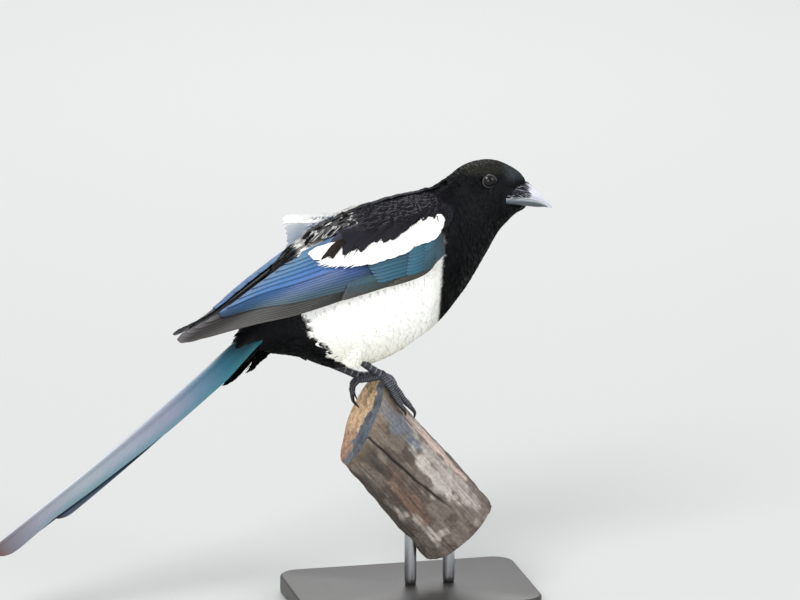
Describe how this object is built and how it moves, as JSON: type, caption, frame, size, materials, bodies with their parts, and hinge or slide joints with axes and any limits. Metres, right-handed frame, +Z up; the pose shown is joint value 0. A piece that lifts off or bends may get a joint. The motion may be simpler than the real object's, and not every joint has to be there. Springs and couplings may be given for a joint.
{
  "type": "eurasian magpie model",
  "caption": "Life-size still model of a Eurasian magpie, a black and white crow with blue wings and a long tail, perched on a cut length of dead branch on a flat stand.",
  "frame": {"origin": "middle of the display base's underside", "axes": "+Z up, +X the way the bird faces, +Y the bird's left"},
  "size_m": [0.379, 0.104, 0.2997],
  "materials": {
    "plumage_black": "soft black feathers with a faint blue and violet gloss",
    "plumage_white": "soft white feathers",
    "plumage_blue": "glossy steel blue and teal vanes",
    "plumage_tail": "glossy green, blue and bronze vanes",
    "bill": "polished dark horn",
    "eye": "wet gloss",
    "leg": "dull scaly skin",
    "perch_wood": "weathered bare wood",
    "base_wood": "dark stained, satin",
    "steel": "brushed"
  },
  "bodies": {
    "root": {"head": "plumage_black", "neck": "plumage_black", "torso": "plumage_white", "rump": "plumage_black", "bill_upper": "bill", "bill_lower": "bill", "eye_right": "eye", "eye_left": "eye", "wing_right": "plumage_blue", "wing_left": "plumage_blue", "scapulars_right": "plumage_white", "scapulars_left": "plumage_white", "tail": "plumage_tail", "thigh_right": "plumage_black", "thigh_left": "plumage_black", "tarsus_right": "leg", "tarsus_left": "leg", "foot_right": "leg", "foot_left": "leg", "claw_right_inner": "bill", "claw_right_middle": "bill", "claw_right_outer": "bill", "claw_right_hind": "bill", "claw_left_inner": "bill", "claw_left_middle": "bill", "claw_left_outer": "bill", "claw_left_hind": "bill", "perch": "perch_wood", "stand_base": "base_wood", "stand_rod_1": "steel", "stand_rod_2": "steel"}
  },
  "joints": []
}
